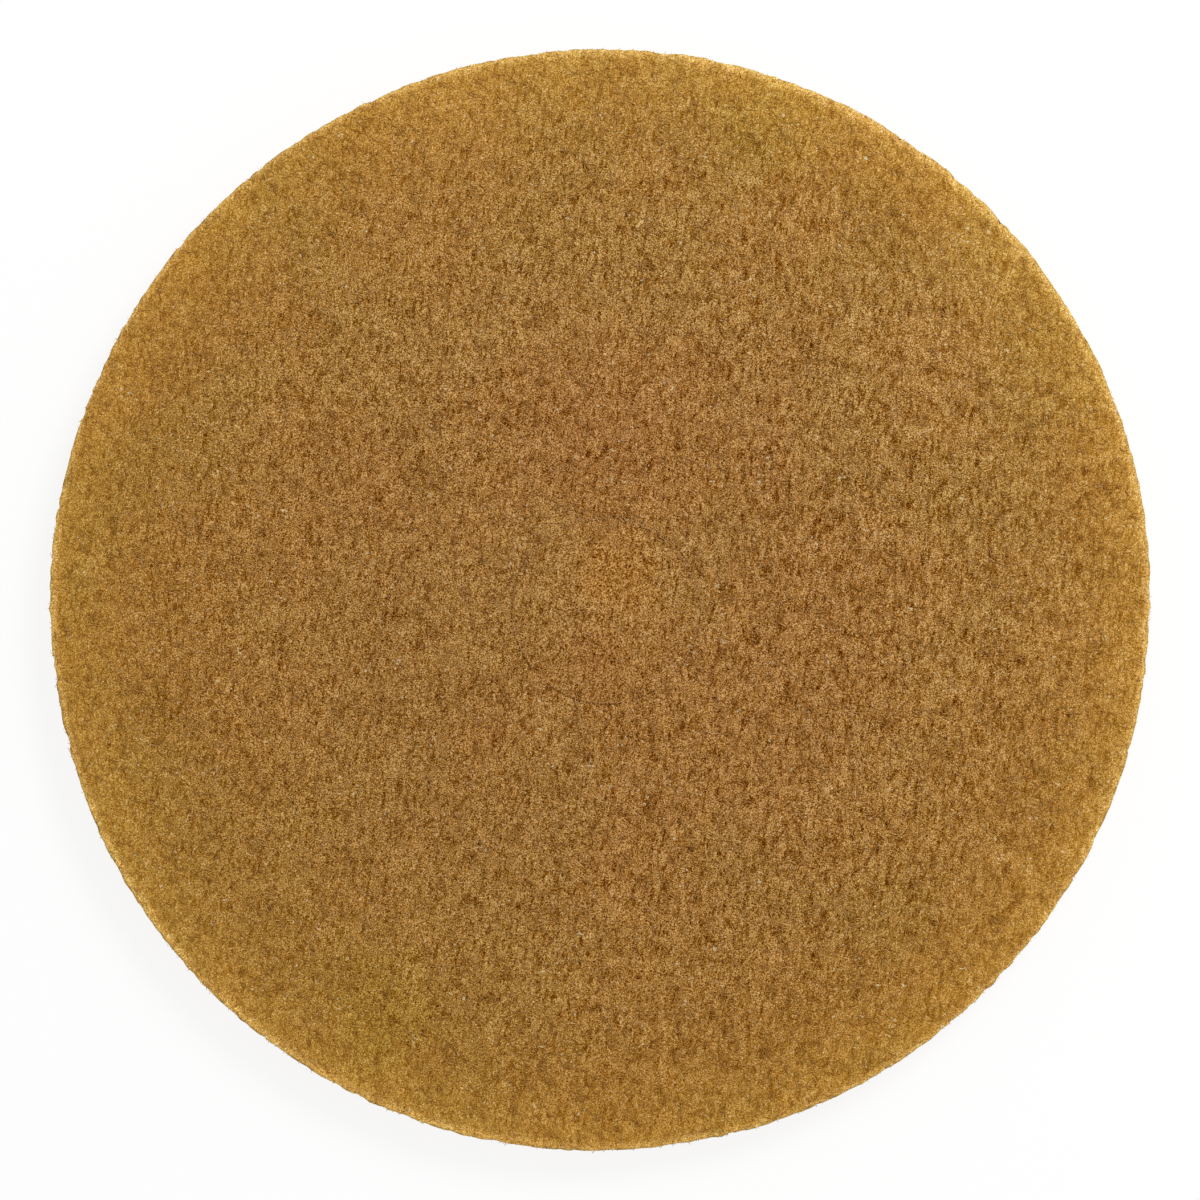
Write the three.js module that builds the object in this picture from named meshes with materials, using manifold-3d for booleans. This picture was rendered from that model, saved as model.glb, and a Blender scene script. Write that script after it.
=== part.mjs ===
// Floor polishing pad for a rotary floor machine: one round disc, die-cut from lofty
// non-woven web. A knock-out plug in its middle is cut free all round, apart from a few
// uncut bridges that hold it until somebody pushes it out for the machine's centre post.
//
// Millimetres, +Z up. The pad lies flat: its work face is at z = 0 and its driver face is
// on top. The grain of the web, the direction in which it ran through its line, is Y.

import * as THREE from "three";
import { mergeVertices } from "three/addons/utils/BufferGeometryUtils.js";
import { ImprovedNoise } from "three/addons/math/ImprovedNoise.js";
import Module from "manifold-3d";

// The disc
const PAD_DIAMETER = 482.6;
const PAD_THICKNESS = 25;

// The die drags the web, so the outline springs back a little oval and a little wavy
const OVAL_STRETCH = 0.6;
const OVAL_DIRECTION = 50;
const EDGE_WAVE = 0.5;
const EDGE_WAVE_LENGTH = 110;

// The rim leans away from each face in a soft shoulder
const SHOULDER_WIDTH = 8;
const SHOULDER_DROP = 2.6;

// The knock-out plug, which the die cut slightly off centre
const PLUG_DIAMETER = 82.6;
const PLUG_OFFSET_X = 2.4;
const PLUG_OFFSET_Y = -4.4;
const PLUG_FLAT_DIAMETER = 46;

// The slit round the plug, its pulled-down lips and the bridges that cross it
const SLIT_WIDTH = 0.6;
const LIP_WIDTH = 1.1;
const LIP_DEPTH = 1.4;
const BRIDGE_COUNT = 4;
const BRIDGE_WIDTH = 8;
const FIRST_BRIDGE_ANGLE = 13;

// Hollows in both faces, where the web is laid thin: long along the grain, narrow across it.
// Thinness runs from -1 to 1, and a hollow starts at one value of it and is full at another
const HOLLOW_DEPTH = 1.1;
const HOLLOW_WIDTH = 17;
const HOLLOW_LENGTH = 38;
const HOLLOW_START = 0.04;
const HOLLOW_FULL = 0.4;

// Layer of the noise that gives each surface a pattern of its own
const TOP_PATTERN = 0.5;
const UNDERSIDE_PATTERN = 7.5;
const EDGE_PATTERN = 3.5;

// Steps of the modelled surface
const FACE_STEP_ACROSS = 8.5;
const FACE_STEP_ALONG = 14;
const RIM_STEP = 13;
const SHOULDER_STEPS = 3;
const SLIT_STEP = 5;

// Room that a cutting form keeps past the surface that it cuts
const CUT_CLEARANCE = 0.5;

const PAD_COLOR = 0x9d6f38;

const TURN = 2 * Math.PI;
const padRadius = PAD_DIAMETER / 2;
const plugRadius = PLUG_DIAMETER / 2;
const noise = new ImprovedNoise();

const library = await Module();
library.setup();
const { Manifold, Mesh } = library;

function toSolid(geometry) {
  const bare = geometry.clone();
  bare.deleteAttribute("normal");
  bare.deleteAttribute("uv");
  const merged = mergeVertices(bare);
  const index = merged.index.array;
  const triangles = [];
  for (let i = 0; i < index.length; i += 3) {
    const [a, b, c] = [index[i], index[i + 1], index[i + 2]];
    if (a !== b && b !== c && c !== a) {
      triangles.push(a, b, c);
    }
  }
  const vertProperties = new Float32Array(merged.attributes.position.array);
  const triVerts = new Uint32Array(triangles);
  return new Manifold(new Mesh({ numProp: 3, vertProperties, triVerts }));
}

function toGeometry(solid) {
  const { vertProperties, triVerts } = solid.getMesh();
  const geometry = new THREE.BufferGeometry();
  geometry.setAttribute("position", new THREE.BufferAttribute(vertProperties, 3));
  geometry.setIndex(new THREE.BufferAttribute(triVerts, 1));
  geometry.computeVertexNormals();
  return geometry;
}

// Depth of the hollow at a place on one face; the plug's middle was pressed flat by the punch
function hollowDepth(x, y, pattern) {
  const thinness = noise.noise(x / HOLLOW_WIDTH, y / HOLLOW_LENGTH, pattern);
  const share = THREE.MathUtils.smoothstep(thinness, HOLLOW_START, HOLLOW_FULL);
  const fromPlug = Math.hypot(x - PLUG_OFFSET_X, y - PLUG_OFFSET_Y);
  const lively = THREE.MathUtils.smoothstep(fromPlug, PLUG_FLAT_DIAMETER / 2, plugRadius);
  return HOLLOW_DEPTH * share * lively;
}

// The web before it is cut: a square of full thickness, with hollows in both faces
function makeWeb() {
  const side = PAD_DIAMETER + 2 * (OVAL_STRETCH + EDGE_WAVE + CUT_CLEARANCE);
  const across = Math.ceil(side / FACE_STEP_ACROSS);
  const along = Math.ceil(side / FACE_STEP_ALONG);
  const web = new THREE.BoxGeometry(side, side, PAD_THICKNESS, across, along, 1);
  web.translate(0, 0, PAD_THICKNESS / 2);
  const place = web.attributes.position;
  for (let i = 0; i < place.count; i += 1) {
    const [x, y] = [place.getX(i), place.getY(i)];
    if (place.getZ(i) > PAD_THICKNESS / 2) {
      place.setZ(i, PAD_THICKNESS - hollowDepth(x, y, TOP_PATTERN));
    } else {
      place.setZ(i, hollowDepth(x, y, UNDERSIDE_PATTERN));
    }
  }
  return toSolid(web);
}

// How far the cut edge lies outside its true circle, at an angle in radians
function edgeOffset(angle) {
  const oval = Math.cos(2 * (angle - THREE.MathUtils.degToRad(OVAL_DIRECTION)));
  const reach = padRadius / EDGE_WAVE_LENGTH;
  const wave = noise.noise(reach * Math.cos(angle), reach * Math.sin(angle), EDGE_PATTERN);
  return OVAL_STRETCH * oval + EDGE_WAVE * wave;
}

// What the round die leaves: a disc with soft shoulders. Inside them it stands clear of both
// faces of the web, which stay as they are, so that only the rim is cut
function makeDieForm() {
  const rise = SHOULDER_DROP + CUT_CLEARANCE;
  const profile = [new THREE.Vector2(0, -CUT_CLEARANCE)];
  for (let step = 0; step <= SHOULDER_STEPS; step += 1) {
    const turn = (TURN / 4) * (step / SHOULDER_STEPS);
    const inset = SHOULDER_WIDTH * (1 - Math.sin(turn));
    profile.push(new THREE.Vector2(padRadius - inset, SHOULDER_DROP - rise * Math.cos(turn)));
  }
  const lower = [...profile].reverse();
  profile.push(...lower.map((point) => new THREE.Vector2(point.x, PAD_THICKNESS - point.y)));
  const form = new THREE.LatheGeometry(profile, Math.round((TURN * padRadius) / RIM_STEP));
  form.rotateX(Math.PI / 2);
  const place = form.attributes.position;
  for (let i = 0; i < place.count; i += 1) {
    const [x, y] = [place.getX(i), place.getY(i)];
    const stretch = 1 + edgeOffset(Math.atan2(y, x)) / padRadius;
    place.setXY(i, x * stretch, y * stretch);
  }
  return toSolid(form);
}

// Level arc round the plug's centre, which the slit's section follows
class SlitPath extends THREE.Curve {
  constructor(start, sweep) {
    super();
    this.start = start;
    this.sweep = sweep;
  }

  getPoint(share, target = new THREE.Vector3()) {
    const angle = this.start + this.sweep * share;
    const x = PLUG_OFFSET_X + plugRadius * Math.cos(angle);
    const y = PLUG_OFFSET_Y + plugRadius * Math.sin(angle);
    return target.set(x, y, PAD_THICKNESS / 2);
  }
}

// Section of the slit, with X up through the pad and Y across the cut: thin in the pad's
// depth, and flared at both faces by its lips
function makeSlitSection() {
  const half = SLIT_WIDTH / 2;
  const face = PAD_THICKNESS / 2;
  const beyond = face + CUT_CLEARANCE;
  const mouth = half + LIP_WIDTH * (1 + CUT_CLEARANCE / LIP_DEPTH);
  const section = new THREE.Shape();
  section.moveTo(LIP_DEPTH - face, half);
  section.lineTo(-beyond, mouth);
  section.lineTo(-beyond, -mouth);
  section.lineTo(LIP_DEPTH - face, -half);
  section.lineTo(face - LIP_DEPTH, -half);
  section.lineTo(beyond, -mouth);
  section.lineTo(beyond, mouth);
  section.lineTo(face - LIP_DEPTH, half);
  section.closePath();
  return section;
}

// The slit, in as many arcs as there are bridges, each from one bridge to the next
function makeSlits() {
  const pitch = TURN / BRIDGE_COUNT;
  const sweep = pitch - BRIDGE_WIDTH / plugRadius;
  const first = THREE.MathUtils.degToRad(FIRST_BRIDGE_ANGLE) + (pitch - sweep) / 2;
  const steps = Math.max(2, Math.round((sweep * plugRadius) / SLIT_STEP));
  const section = makeSlitSection();
  return Array.from({ length: BRIDGE_COUNT }, (unused, arc) => {
    const extrudePath = new SlitPath(first + arc * pitch, sweep);
    return toSolid(new THREE.ExtrudeGeometry(section, { steps, extrudePath }));
  });
}

function makePad() {
  let pad = makeWeb().intersect(makeDieForm());
  for (const slit of makeSlits()) {
    pad = pad.subtract(slit);
  }
  const geometry = toGeometry(pad);
  geometry.computeBoundingBox();
  const middle = geometry.boundingBox.getCenter(new THREE.Vector3());
  geometry.translate(-middle.x, -middle.y, 0);
  const fibre = new THREE.MeshStandardMaterial({ color: PAD_COLOR, roughness: 0.95, metalness: 0 });
  fibre.name = "fibre";
  const mesh = new THREE.Mesh(geometry, fibre);
  mesh.name = "polishing_pad";
  return mesh;
}

const model = new THREE.Group();
model.name = "floor_polishing_pad";
model.add(makePad());

export default model;
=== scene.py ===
# Floor polishing pad of non-woven web, lying flat on a white ground and seen from above.
# Metres throughout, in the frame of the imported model: the pad stands on z = 0, its axis is
# Z and the grain of its web runs along Y. Two halves of the web, upper and lower, carry the
# relief, and loose fibres lie in both faces, in the cut edge and across the slit.

import math

import bpy
import numpy as np
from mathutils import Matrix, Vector
from mathutils.bvhtree import BVHTree


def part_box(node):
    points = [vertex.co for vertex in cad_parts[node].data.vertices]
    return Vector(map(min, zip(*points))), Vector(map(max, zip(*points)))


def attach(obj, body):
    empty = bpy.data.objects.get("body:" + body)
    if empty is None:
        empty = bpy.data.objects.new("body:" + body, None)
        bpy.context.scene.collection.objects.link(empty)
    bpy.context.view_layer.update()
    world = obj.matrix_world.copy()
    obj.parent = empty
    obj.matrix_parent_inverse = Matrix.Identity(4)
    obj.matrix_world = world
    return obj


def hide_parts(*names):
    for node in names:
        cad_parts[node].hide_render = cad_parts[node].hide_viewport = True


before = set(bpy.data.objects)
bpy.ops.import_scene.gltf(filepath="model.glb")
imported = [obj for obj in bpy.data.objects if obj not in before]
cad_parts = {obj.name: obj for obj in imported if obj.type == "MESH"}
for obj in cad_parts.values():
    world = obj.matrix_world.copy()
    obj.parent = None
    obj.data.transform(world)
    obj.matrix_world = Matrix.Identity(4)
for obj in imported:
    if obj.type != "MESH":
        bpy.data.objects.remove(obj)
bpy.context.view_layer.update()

MM = 0.001
TURN = 2 * math.pi

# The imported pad: the lips round its plug, the lowest corners of the slit's walls, and the
# drop of the shoulder at its rim
PAD_NODE = "polishing_pad"
PACKED_LIP_DEPTH = 1.4 * MM
PACKED_LIP_REACH = 1.4 * MM
PACKED_WALL_START = 0.9 * PACKED_LIP_DEPTH
SHOULDER_DROP = 2.6 * MM

# Places round the pad where its outline is measured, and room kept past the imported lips
OUTLINE_POINTS = 1440
LIP_MARGIN = 0.3 * MM

# The slit as the felted faces show it: nearly closed, and tight in the middle of the pad.
# Its lips come and go in patches, where their noise passes the span
SLIT_POINTS = 200
SLIT_WIDTH = 0.05 * MM
SLIT_PINCH = 0.03 * MM
LIP_WIDTH = 0.5 * MM
LIP_DEPTH = 0.55 * MM
LIP_PATCH = 9 * MM
LIP_SPAN = (0.15, 0.75)

# Photograph: a square frame, with the pad's radius in it
PHOTO_SIDE_PX = 1200
PAD_RADIUS_PX = 551.1
SENSOR_MM = 36
LENS_MM = 100

# Web mesh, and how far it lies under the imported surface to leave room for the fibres
UPPER_STEP = 1.52 * MM
LOWER_STEP = 2.2 * MM
BACK_STEP = 14 * MM
WALL_LEVELS = 8
RIM_LIP = 0.3 * MM
FACE_SINK = 0.75 * MM
EDGE_SINK = 0.4 * MM

# Where the regular rings start, in lip widths from the slit; the share of the way to the rim
# where its tufts set in; and the wall's top, under the face's height a little inside the rim
FIRST_RING = 1.7
RIM_BLEND = 0.96
WALL_DROP = 1.6 * MM
WALL_INSIDE = 2 * MM

# Relief of the web: pits and soft lumps in the faces, plies and shallower pits in the edge
PIT_DEPTH = 0.9 * MM
PIT_SIZE = (2.8 * MM, 5.0 * MM)
PIT_SPAN = (0.55, 0.95)
EDGE_PIT_SHARE = 0.5
STREAK_DEPTH = 0.5 * MM
STREAK_SIZE = (2.6 * MM, 9 * MM)
LUMP_DEPTH = 0.35 * MM
LUMP_SIZE = (6 * MM, 8 * MM)
PLY_DEPTH = 0.4 * MM
PLY_SIZE = (7 * MM, 2.2 * MM)

# The plug's middle is flatter: its share of the radius, and the share of relief left there
FLAT_MIDDLE = 0.7
FLAT_RELIEF = 0.4

# Tufts and nicks that the die left all along the cut edge
TUFT_DEPTH = 0.65 * MM
TUFT_SIZE = 3.2 * MM

# Seeds of the patterns; each face uses its own and the two that follow it
LIP_SEED = 3
PLY_SEED = 5
EDGE_PIT_SEED = 6
TUFT_SEED = 8
UPPER_SEED = 11
LOWER_SEED = 47

# Fibres: each is a curly tube with three sides and a few bends. It follows a share of the
# relief under it, and its tone is partly chance and partly painted shade: a fibre that
# stands out less is painted darker
FIBRE_POINTS = 4
FIBRE_SIDES = 3
FIBRE_STEP = 1.45 * MM
STEP_SPREAD = (0.75, 1.25)
FIBRE_RADIUS = (0.12 * MM, 0.21 * MM)
TIP_TAPER = 0.55
FIBRE_ARCH = (0.28 * MM, 0.75 * MM)
FIBRE_SWELL = np.sin(math.pi * np.linspace(0, 1, FIBRE_POINTS))
FIBRE_TIP_SINK = 0.4 * MM
FIBRE_BEND = 0.5
FACE_LEAN = -0.3
EDGE_LEAN = 0.5
FACE_FOLLOW = 0.35
EDGE_FOLLOW = 0.5
CHANCE_TONE = 0.6
FACE_FIBRES = 9900
LOWER_FIBRES = 5200
EDGE_FIBRES = 9600

# Fibres of the cut edge: room left to the faces where they start and where they end, width
# of the shoulder that they follow, and loose ends
EDGE_START = 1.2 * MM
EDGE_LIMIT = 0.5 * MM
SHOULDER_WIDTH = 3 * MM
LOOSE_SHARE = 0.4
LOOSE_REACH = (0.3 * MM, 1.6 * MM)

# Short fibres that lie across the slit, more of them where it hardly shows. Of the longer
# ones near it, a share is left out
SLIT_FIBRES = 240
HIDDEN_TURN = math.radians(65)
LEAST_CROWD = 0.35
SLIT_START_MM = (-2.2, -0.6)
SLIT_STEP = 0.8 * MM
SLIT_SLANT = 0.6
SLIT_BEND = 0.45
SLIT_ARCH = 0.25 * MM
SLIT_TIP_SINK = 0.15 * MM
# Painted light: tones set brighter than those of the face fibres, to offset the shade of the lips
# they lie over
SLIT_TONES_AND_LIGHT = (0.45, 1)
SLIT_NEAR = 0.3 * MM
SLIT_COVER = 0.8

# Hash that the noise draws its random values from
WORD = 0xFFFFFFFF
HASH_COLUMN = 0x8DA6B343
HASH_ROW = 0xD8163841
HASH_SEED = 0x9E3779B1
HASH_ROUNDS = ((15, 0x2C1B3C6D), (12, 0x297A2D39))
HASH_LAST_SHIFT = 15

rng = np.random.default_rng(19)


def random_at(column, row, seed):
    """Repeatable random number from 0 to 1 for each pair of whole numbers."""
    word = np.uint64(WORD)
    a = column.astype(np.int64).astype(np.uint64) & word
    b = row.astype(np.int64).astype(np.uint64) & word
    mixed = (a * np.uint64(HASH_COLUMN) ^ b * np.uint64(HASH_ROW)) & word
    mixed = mixed ^ np.uint64(seed * HASH_SEED & WORD)
    for shift, factor in HASH_ROUNDS:
        mixed = ((mixed ^ (mixed >> np.uint64(shift))) * np.uint64(factor)) & word
    return (mixed ^ (mixed >> np.uint64(HASH_LAST_SHIFT))).astype(float) / float(WORD)


def ease(share):
    """Turns an even rise from 0 to 1 into one with a soft start and end."""
    return share * share * (3 - 2 * share)


def smooth_noise(x, y, seed):
    """Smooth noise from 0 to 1, with one random value at each whole-numbered place."""
    column, row = np.floor(x), np.floor(y)
    across, along = ease(x - column), ease(y - row)
    near = random_at(column, row, seed) * (1 - across)
    near = near + random_at(column + 1, row, seed) * across
    far = random_at(column, row + 1, seed) * (1 - across)
    far = far + random_at(column + 1, row + 1, seed) * across
    return near * (1 - along) + far * along


def smoothstep(value, start, end):
    return ease(np.clip((value - start) / (end - start), 0, 1))


def around(count):
    return TURN * np.arange(count) / count


def on_circle(radius, angle, centre=(0, 0)):
    return np.stack([centre[0] + radius * np.cos(angle), centre[1] + radius * np.sin(angle)], 1)


class PackedPad:
    """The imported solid, measured by rays, so that the fine surfaces follow it."""

    def __init__(self, name):
        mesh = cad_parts[name].data
        corners = [vertex.co[:] for vertex in mesh.vertices]
        self.tree = BVHTree.FromPolygons(corners, [face.vertices[:] for face in mesh.polygons])
        low, high = (np.array(corner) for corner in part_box(name))
        self.thickness = high[2] - low[2]
        self.reach = 0.5 * max(high[:2] - low[:2])
        self.find_slit(np.array(corners))
        self.find_outline()

    def find_slit(self, corners):
        """The slit's walls are the only corners inside the solid and far from its rim."""
        height = corners[:, 2]
        inside = (height > PACKED_WALL_START) & (height < self.thickness / 2)
        central = np.hypot(corners[:, 0], corners[:, 1]) < self.reach / 2
        walls = corners[inside & central][:, :2]
        self.plug_centre = 0.5 * (walls.min(0) + walls.max(0))
        distances = np.hypot(*(walls - self.plug_centre).T)
        self.plug_radius = 0.5 * (distances.min() + distances.max())
        middles = TURN * (np.arange(SLIT_POINTS) + 0.5) / SLIT_POINTS
        self.bridged = np.array([self.is_bridge(angle) for angle in middles])

    def is_bridge(self, angle):
        """True where the slit isn't cut."""
        x = self.plug_centre[0] + self.plug_radius * math.cos(angle)
        y = self.plug_centre[1] + self.plug_radius * math.sin(angle)
        start = Vector((x, y, self.thickness / 2))
        return self.tree.ray_cast(start, Vector((0, 0, 1)))[0] is not None

    def bridged_at(self, dx, dy):
        """True where a place away from the plug's centre lies in line with a bridge."""
        share = np.arctan2(dy, dx) % TURN / TURN
        return self.bridged[(share * SLIT_POINTS).astype(int) % SLIT_POINTS]

    def find_outline(self):
        self.outline_angles = around(OUTLINE_POINTS)
        self.outline_radii = np.empty(OUTLINE_POINTS)
        for i, angle in enumerate(self.outline_angles.tolist()):
            way = Vector((math.cos(angle), math.sin(angle), 0))
            start = way * (2 * self.reach) + Vector((0, 0, self.thickness / 2))
            hit = self.tree.ray_cast(start, -way)[0]
            self.outline_radii[i] = math.hypot(hit.x, hit.y)

    def outline(self, angle):
        """Radius of the cut edge."""
        return np.interp(angle, self.outline_angles, self.outline_radii, period=TURN)

    def face_depth(self, x, y, upper, lips=True):
        """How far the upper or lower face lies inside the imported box, by default with lips.

        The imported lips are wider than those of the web, so places in them are measured
        past them."""
        dx, dy = x - self.plug_centre[0], y - self.plug_centre[1]
        radius = np.hypot(dx, dy)
        from_slit = radius - self.plug_radius
        band = PACKED_LIP_REACH + LIP_MARGIN
        near = np.abs(from_slit) < band
        pushed = self.plug_radius + np.where(from_slit < 0, -band, band)
        scale = np.where(near, pushed / np.maximum(radius, MM), 1)
        dx, dy = dx * scale, dy * scale
        start = 2 * self.thickness if upper else -self.thickness
        way = Vector((0, 0, -1 if upper else 1))
        face = self.thickness if upper else 0
        depth = np.empty(len(x))
        places = zip((self.plug_centre[0] + dx).tolist(), (self.plug_centre[1] + dy).tolist())
        for i, (px, py) in enumerate(places):
            hit = self.tree.ray_cast(Vector((px, py, start)), way)[0]
            depth[i] = 0 if hit is None else abs(hit.z - face)
        return depth + self.lip_depth(from_slit, dx, dy) if lips else depth

    def lip_depth(self, from_slit, dx, dy):
        """How far the web is pulled down beside the slit."""
        in_lip = 1 - (np.abs(from_slit) - SLIT_WIDTH / 2) / LIP_WIDTH
        arc = np.arctan2(dy, dx) % TURN * self.plug_radius
        open_share = smoothstep(smooth_noise(arc / LIP_PATCH, 0 * arc, LIP_SEED), *LIP_SPAN)
        return LIP_DEPTH * np.clip(in_lip, 0, 1) * ~self.bridged_at(dx, dy) * open_share


pad = PackedPad(PAD_NODE)


def face_relief(x, y, seed):
    """How far pits, streaks and lumps reach under the web's highest parts."""
    pits = smoothstep(smooth_noise(x / PIT_SIZE[0], y / PIT_SIZE[1], seed), *PIT_SPAN)
    streaks = smooth_noise(x / STREAK_SIZE[0], y / STREAK_SIZE[1], seed + 1)
    lumps = smooth_noise(x / LUMP_SIZE[0], y / LUMP_SIZE[1], seed + 2)
    from_plug = np.hypot(x - pad.plug_centre[0], y - pad.plug_centre[1])
    outside = smoothstep(from_plug, FLAT_MIDDLE * pad.plug_radius, pad.plug_radius)
    lively = FLAT_RELIEF + (1 - FLAT_RELIEF) * outside
    return lively * (PIT_DEPTH * pits + STREAK_DEPTH * streaks + LUMP_DEPTH * lumps)


def web_outline(angle):
    """Radius of the cut edge with its tufts, which stand out a little and leave nicks."""
    tufts = smooth_noise(angle % TURN * pad.reach / TUFT_SIZE, 0 * angle, TUFT_SEED)
    return pad.outline(angle) + TUFT_DEPTH * (tufts - 0.5)


def edge_relief(angle, height):
    """How far the cut edge gives way between the plies of the web."""
    arc = angle * pad.reach
    plies = smooth_noise(arc / PLY_SIZE[0], height / PLY_SIZE[1], PLY_SEED)
    pits = smooth_noise(arc / PIT_SIZE[1], height / PIT_SIZE[0], EDGE_PIT_SEED)
    return PLY_DEPTH * plies + EDGE_PIT_SHARE * PIT_DEPTH * smoothstep(pits, *PIT_SPAN)


class Shell:
    """Triangles between rings of points; each ring runs counter-clockwise from above."""

    def __init__(self):
        self.points = []
        self.count = 0
        self.triangles = []
        self.regions = []

    def ring(self, places, height):
        """Adds a ring of places (x, y) at one height or one height each."""
        self.points.append(np.column_stack([places, np.broadcast_to(height, len(places))]))
        first, self.count = self.count, self.count + len(places)
        return first, len(places)

    def join(self, near, far, region, only=None):
        """Fills the band from one ring to the next, in all segments or only in some."""
        (start_near, count_near), (start_far, count_far) = near, far
        steps_near = count_near if count_near > 1 else 0
        steps_far = count_far if count_far > 1 else 0
        i = j = 0
        while i < steps_near or j < steps_far:
            here = start_near + i % count_near
            there = start_far + j % count_far
            near_next = i < steps_near and (i + 1) * count_far <= (j + 1) * count_near
            if j >= steps_far or near_next:
                segment = i
                i += 1
                corner = start_near + i % count_near
            else:
                segment = j
                j += 1
                corner = start_far + j % count_far
            if only is None or only[segment]:
                self.triangles.append((here, there, corner))
                self.regions.append(region)

    def chain(self, previous, rings, region):
        """Fills the bands from a ring through a row of others, and gives back the last."""
        for current in rings:
            self.join(previous, current, region)
            previous = current
        return previous

    def quad(self, a, b, c, d, region):
        self.triangles += [(a, b, c), (a, c, d)]
        self.regions += [region, region]


FACE, EDGE, HIDDEN = range(3)


def radii_between(start, end, step):
    return np.linspace(start, end, max(2, round((end - start) / step) + 1))


class WebHalf(Shell):
    """One half of the web, from its face to a plane at mid-height.

    Heights are counted outwards from that plane, for the lower half too."""

    def __init__(self, upper, seed, step):
        super().__init__()
        self.upper = upper
        self.seed = seed
        self.step = step
        self.half = pad.thickness / 2
        self.inner_lip = pad.plug_radius - SLIT_WIDTH / 2
        self.outer_lip = pad.plug_radius + SLIT_WIDTH / 2
        self.span = pad.reach - self.outer_lip
        self.rim_angles = around(round(TURN * pad.reach / step))
        plug_top, plug_foot = self.add_plug()
        ring_top, ring_foot = self.add_slit(plug_top, plug_foot)
        self.add_outside(ring_top, ring_foot)

    def face_height(self, places):
        x, y = places.T
        depth = pad.face_depth(x, y, self.upper) + FACE_SINK + face_relief(x, y, self.seed)
        return self.half - depth

    def edge_give(self, angle, height):
        above_ground = self.half + (height if self.upper else -height)
        return EDGE_SINK + edge_relief(angle, above_ground + 0 * angle)

    def plug_ring(self, radius, height=None):
        """Ring round the plug's centre, by default at the height of the face."""
        count = 1 if radius == 0 else round(TURN * radius / self.step)
        if radius == self.inner_lip:
            count = SLIT_POINTS
        places = on_circle(radius, around(count), pad.plug_centre)
        return self.ring(places, self.face_height(places) if height is None else height)

    def slit_foot(self, side):
        """Ring at mid-height, on the plug's side (-1) or the outer side (1) of the slit."""
        radius = pad.plug_radius + side * SLIT_PINCH / 2
        return self.ring(on_circle(radius, around(SLIT_POINTS), pad.plug_centre), 0)

    def outer_ring(self, share, step, height=None):
        """Ring at a share of the way from slit to rim, by default at the face's height."""
        angle = self.rim_angles
        if share < 1:
            radius = self.outer_lip + share * self.span
            angle = around(round(TURN * radius / step) if share > 0 else SLIT_POINTS)
        lip = on_circle(self.outer_lip, angle, pad.plug_centre)
        rim_radius = web_outline(angle) + RIM_LIP
        places = (1 - share) * lip + share * on_circle(rim_radius, angle)
        give = self.edge_give(angle, self.half) * smoothstep(share, RIM_BLEND, 1)
        shown = places * (1 - give / rim_radius)[:, None]
        return self.ring(shown, self.face_height(places) if height is None else height)

    def edge_ring(self, height):
        angle = self.rim_angles
        radius = web_outline(angle) - self.edge_give(angle, height)
        return self.ring(on_circle(radius, angle), height)

    def add_plug(self):
        radii = radii_between(0, self.inner_lip - FIRST_RING * LIP_WIDTH, self.step)
        radii = [*radii, *(self.inner_lip - lip for lip in (LIP_WIDTH, LIP_WIDTH / 2, 0))]
        plug_top = self.chain(self.plug_ring(radii[0]), map(self.plug_ring, radii[1:]), FACE)
        plug_foot = self.slit_foot(-1)
        self.join(plug_top, plug_foot, HIDDEN, ~pad.bridged)
        back = radii_between(0, self.inner_lip, BACK_STEP)[-2::-1]
        self.chain(plug_foot, (self.plug_ring(radius, 0) for radius in back), HIDDEN)
        return plug_top, plug_foot

    def add_slit(self, plug_top, plug_foot):
        """The slit's outer wall, and the bridges across it."""
        ring_foot = self.slit_foot(1)
        ring_top = self.outer_ring(0, self.step)
        self.join(ring_foot, ring_top, HIDDEN, ~pad.bridged)
        self.join(plug_top, ring_top, FACE, pad.bridged)
        self.join(ring_foot, plug_foot, HIDDEN, pad.bridged)
        for j in range(SLIT_POINTS):
            if pad.bridged[j] != pad.bridged[j - 1]:
                corners = [ring[0] + j for ring in (plug_top, plug_foot, ring_foot, ring_top)]
                if not pad.bridged[j]:
                    corners.reverse()
                self.quad(*corners, HIDDEN)
        return ring_top, ring_foot

    def add_outside(self, ring_top, ring_foot):
        """Face, wall and back of the web round the plug."""
        shares = [LIP_WIDTH / 2 / self.span, LIP_WIDTH / self.span]
        first = FIRST_RING * LIP_WIDTH / self.span
        shares += list(np.linspace(first, 1, round(self.span / self.step)))
        rings = (self.outer_ring(share, self.step) for share in shares)
        rim = self.chain(ring_top, rings, FACE)
        inside = np.array([pad.reach - WALL_INSIDE])
        shoulder = self.half - pad.face_depth(inside, np.array([0.0]), self.upper)[0]
        heights = np.linspace(shoulder - WALL_DROP, 0, WALL_LEVELS)
        foot = self.chain(rim, map(self.edge_ring, heights), EDGE)
        back_shares = np.linspace(0, 1, round(self.span / BACK_STEP))[-2:0:-1]
        rings = (self.outer_ring(share, BACK_STEP, 0) for share in back_shares)
        self.join(self.chain(foot, rings, HIDDEN), ring_foot, HIDDEN)


def make_web_half(name, upper, seed, step):
    shell = WebHalf(upper, seed, step)
    points = np.concatenate(shell.points)
    triangles = np.array(shell.triangles)
    points[:, 2] = shell.half + points[:, 2] if upper else shell.half - points[:, 2]
    if not upper:
        triangles = triangles[:, ::-1]
    piece = make_mesh(name, points, triangles)
    lay_out_half(piece, points, triangles, np.array(shell.regions))
    return piece


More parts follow.
